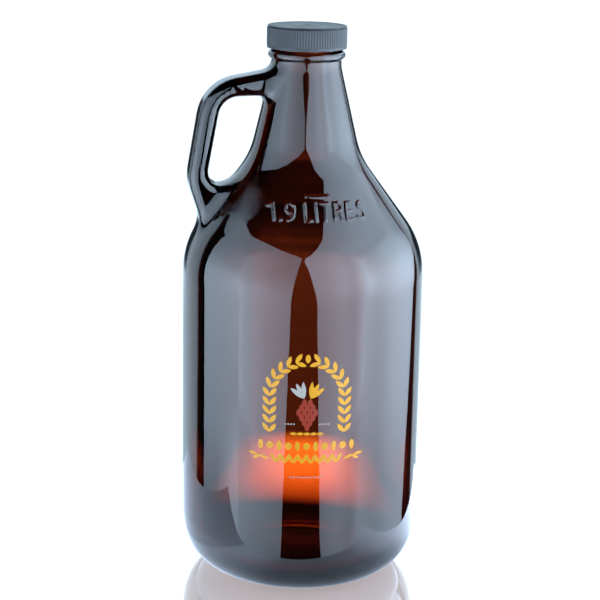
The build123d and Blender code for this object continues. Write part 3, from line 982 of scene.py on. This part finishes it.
def add_floor():
    """A pale, glossy floor that only the camera sees."""
    corners = ((-FLOOR, -FLOOR), (FLOOR, -FLOOR), (FLOOR, FLOOR), (-FLOOR, FLOOR))
    points = [turned(x, y, 0) * MM for x, y in corners]
    mesh = bpy.data.meshes.new("floor")
    mesh.from_pydata(points, [], [(0, 1, 2, 3)])
    floor = bpy.data.objects.new("floor", mesh)
    scene.collection.objects.link(floor)
    made, nodes, links, shader = material("floor")
    shader.inputs["Base Color"].default_value = (0.06, 0.06, 0.06, 1)
    shader.inputs["Roughness"].default_value = 0.9
    shader.inputs["Specular IOR Level"].default_value = 0.0
    shader.inputs["Emission Color"].default_value = (1.0, 0.86, 0.84, 1)
    shader.inputs["Emission Strength"].default_value = 0.36
    gloss = nodes.new("ShaderNodeBsdfGlossy")
    gloss.inputs["Roughness"].default_value = 0.03
    gloss.inputs["Color"].default_value = (0.69, 0.69, 0.69, 1)
    both = nodes.new("ShaderNodeAddShader")
    links.new(shader.outputs[0], both.inputs[0])
    links.new(gloss.outputs[0], both.inputs[1])
    links.new(both.outputs[0], nodes["Material Output"].inputs["Surface"])
    mesh.materials.append(made)
    floor.visible_glossy = False
    floor.visible_transmission = False
    floor.visible_diffuse = False


add_floor()


LIT_FROM, LIT_ROUND = 11.5, (50, 54)     # where the lit background's middle is, and its edge
DIM_ROUND = (28, 38)                     # the part straight behind the jug, which fades upwards
DARK = 0.012                             # the light from everywhere else
WHITE_LEVEL, BACK_COLOUR = 1.05, (0.95, 1.25, 1.5)
# How bright the part straight behind the jug is, by the height of the direction's unit vector
DIM_LEVELS = ((-0.4, 0.15), (-0.375, 0.2), (-0.358, 0.3), (-0.34, 0.8), (-0.26, 0.85), (-0.235, 1.05),
              (-0.21, 1.0), (-0.202, 0.65), (-0.194, 0.4), (-0.185, 0.25), (-0.168, 0.17),
              (-0.15, 0.04), (0.0, 0.03), (0.05, 1.0))


def towards(nodes, links, spot, aim, inner, outer, far_level):
    """One for directions less than inner degrees from aim, falling to far_level at outer."""
    gap = nodes.new("ShaderNodeVectorMath")
    gap.operation = "DOT_PRODUCT"
    gap.inputs[1].default_value = tuple(aim)
    links.new(spot, gap.inputs[0])
    share = nodes.new("ShaderNodeMapRange")
    share.interpolation_type = "SMOOTHSTEP"
    share.inputs["From Min"].default_value = cos(radians(outer))
    share.inputs["From Max"].default_value = cos(radians(inner))
    share.inputs["To Min"].default_value = far_level
    share.inputs["To Max"].default_value = 1.0
    links.new(gap.outputs["Value"], share.inputs["Value"])
    return share.outputs["Result"]


def add_world():
    """White for the camera; for the glass, a lit background that is dark to the sides."""
    world = bpy.data.worlds.new("studio")
    scene.world = world
    world.use_nodes = True
    nodes, links = world.node_tree.nodes, world.node_tree.links
    nodes.clear()
    out = nodes.new("ShaderNodeOutputWorld")
    path = nodes.new("ShaderNodeLightPath")
    white = nodes.new("ShaderNodeBackground")
    white.inputs["Color"].default_value = (1, 1, 1, 1)
    white.inputs["Strength"].default_value = WHITE_LEVEL
    spot = nodes.new("ShaderNodeTexCoord").outputs["Generated"]
    back = radians(180 + LIT_FROM)
    lit = towards(nodes, links, spot, turned(sin(back), -cos(back), 0), *LIT_ROUND, DARK)
    # Straight behind the jug the light comes from below, so it fades out above the table
    parts = nodes.new("ShaderNodeSeparateXYZ")
    links.new(spot, parts.inputs[0])
    fade = nodes.new("ShaderNodeValToRGB")
    low, high = DIM_LEVELS[0][0], DIM_LEVELS[-1][0]
    for place, _ in DIM_LEVELS[1:-1]:
        fade.color_ramp.elements.new((place - low) / (high - low))
    for stop, (_, level) in zip(fade.color_ramp.elements, DIM_LEVELS):
        stop.color = (level, level, level, 1)
    height = nodes.new("ShaderNodeMapRange")
    height.inputs["From Min"].default_value = low
    height.inputs["From Max"].default_value = high
    links.new(parts.outputs["Z"], height.inputs["Value"])
    links.new(height.outputs["Result"], fade.inputs["Fac"])
    dim = nodes.new("ShaderNodeMix")
    dim.inputs["A"].default_value = 1.0
    links.new(towards(nodes, links, spot, turned(0, 1, 0), *DIM_ROUND, 0.0), dim.inputs["Factor"])
    links.new(fade.outputs["Color"], dim.inputs["B"])
    studio = nodes.new("ShaderNodeBackground")
    studio.inputs["Color"].default_value = (*BACK_COLOUR, 1)
    links.new(product(nodes, links, lit, dim.outputs["Result"]), studio.inputs["Strength"])
    mix = nodes.new("ShaderNodeMixShader")
    links.new(path.outputs["Is Camera Ray"], mix.inputs["Fac"])
    links.new(studio.outputs[0], mix.inputs[1])
    links.new(white.outputs[0], mix.inputs[2])
    links.new(mix.outputs[0], out.inputs["Surface"])


add_world()
scene.view_settings.view_transform = "Standard"
scene.cycles.max_bounces = 24
scene.cycles.transmission_bounces = 16
scene.cycles.glossy_bounces = 8
